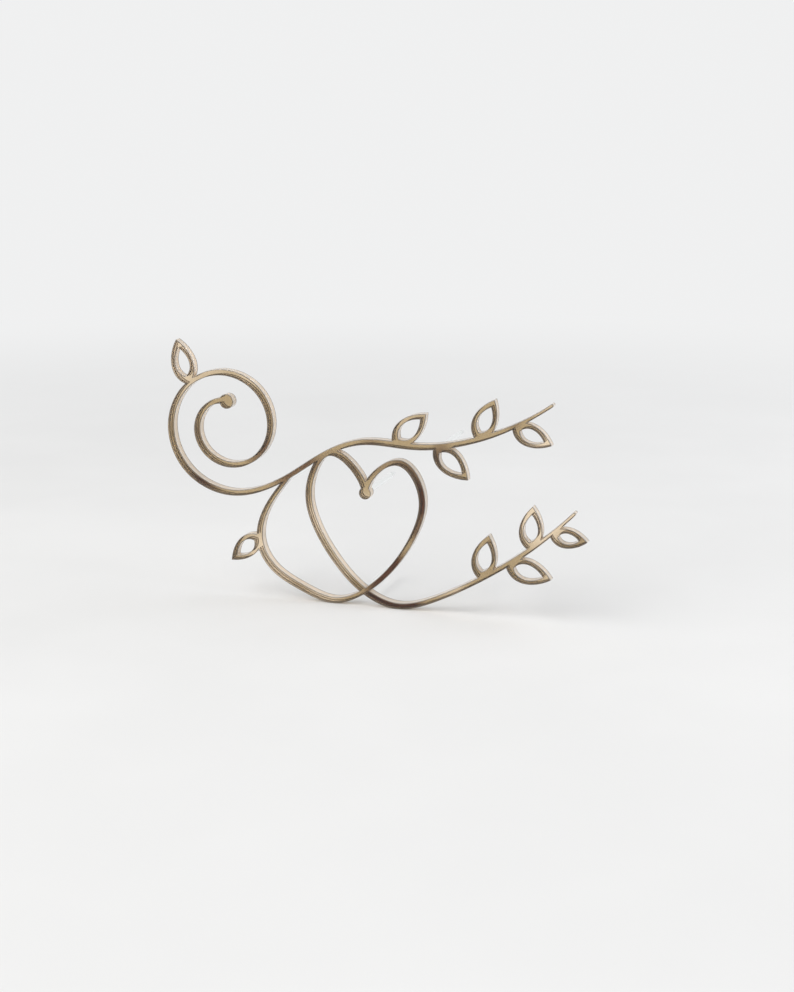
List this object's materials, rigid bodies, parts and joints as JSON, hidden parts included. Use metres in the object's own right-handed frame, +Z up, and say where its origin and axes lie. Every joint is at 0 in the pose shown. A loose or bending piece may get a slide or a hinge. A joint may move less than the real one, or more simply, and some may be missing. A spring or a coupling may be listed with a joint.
{
  "type": "cake topper",
  "caption": "Flat openwork plate of mirror acrylic, cut as leafy stems with a volute and a heart, on clear pegs that push into the front of a cake.",
  "frame": {"origin": "on the middle peg's axis, in the plane where the pegs enter the icing", "axes": "+X to the right as the plate's face is looked at, +Y into the cake along the pegs, +Z up"},
  "size_m": [0.1395, 0.0333, 0.084],
  "materials": {
    "tinted_acrylic": "polished face, laser-cut edge",
    "mirror_layer": "mirror",
    "back_paint": "flat paint",
    "clear_acrylic": "clear, polished",
    "adhesive": "cured clear adhesive"
  },
  "bodies": {
    "root": {"face_sheet": "tinted_acrylic", "mirror_film": "mirror_layer", "back_coat": "back_paint", "peg_centre": "clear_acrylic", "peg_left": "clear_acrylic", "peg_bottom": "clear_acrylic", "peg_upper_right": "clear_acrylic", "peg_lower_right": "clear_acrylic", "glue_centre": "adhesive", "glue_left": "adhesive", "glue_bottom": "adhesive", "glue_upper_right": "adhesive", "glue_lower_right": "adhesive"}
  },
  "joints": []
}
